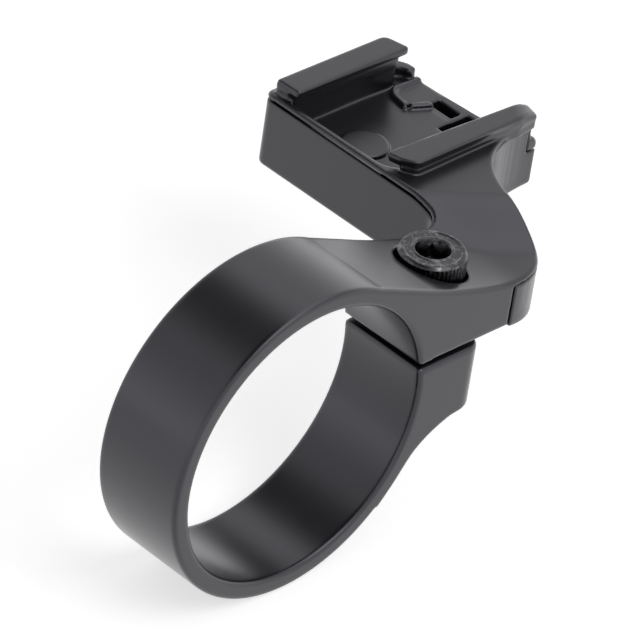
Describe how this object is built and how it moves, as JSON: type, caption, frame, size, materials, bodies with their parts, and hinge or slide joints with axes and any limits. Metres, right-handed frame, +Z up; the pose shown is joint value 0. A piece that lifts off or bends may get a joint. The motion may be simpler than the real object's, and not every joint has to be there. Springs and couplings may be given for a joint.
{
  "type": "bike computer mount",
  "caption": "Out-front bike computer mount: split handlebar clamp with a clamp bolt, curved arm and a railed tray that a small computer slides into.",
  "frame": {"origin": "centre of the handlebar bore, midway between the clamp's two side faces", "axes": "+X along the handlebar, +Y forward from the clamp to the arm and tray, +Z up along the clamp bolt"},
  "size_m": [0.0372, 0.0686, 0.0358],
  "materials": {
    "moulded_plastic": "fine satin",
    "black_steel": "black oxide",
    "plated_steel": "zinc plated"
  },
  "bodies": {
    "mount": {"bracket": "moulded_plastic", "under_cover": "moulded_plastic", "clamp_nut": "plated_steel", "cover_screw_1": "black_steel", "cover_screw_2": "black_steel", "cover_screw_3": "black_steel"},
    "bolt": {"clamp_bolt": "black_steel"}
  },
  "joints": [
    {"name": "bolt_turn", "type": "hinge", "parent": "mount", "child": "bolt", "pos_m": [0, 0.0212, 0], "axis": [0, 0, 1], "continuous": true}
  ]
}
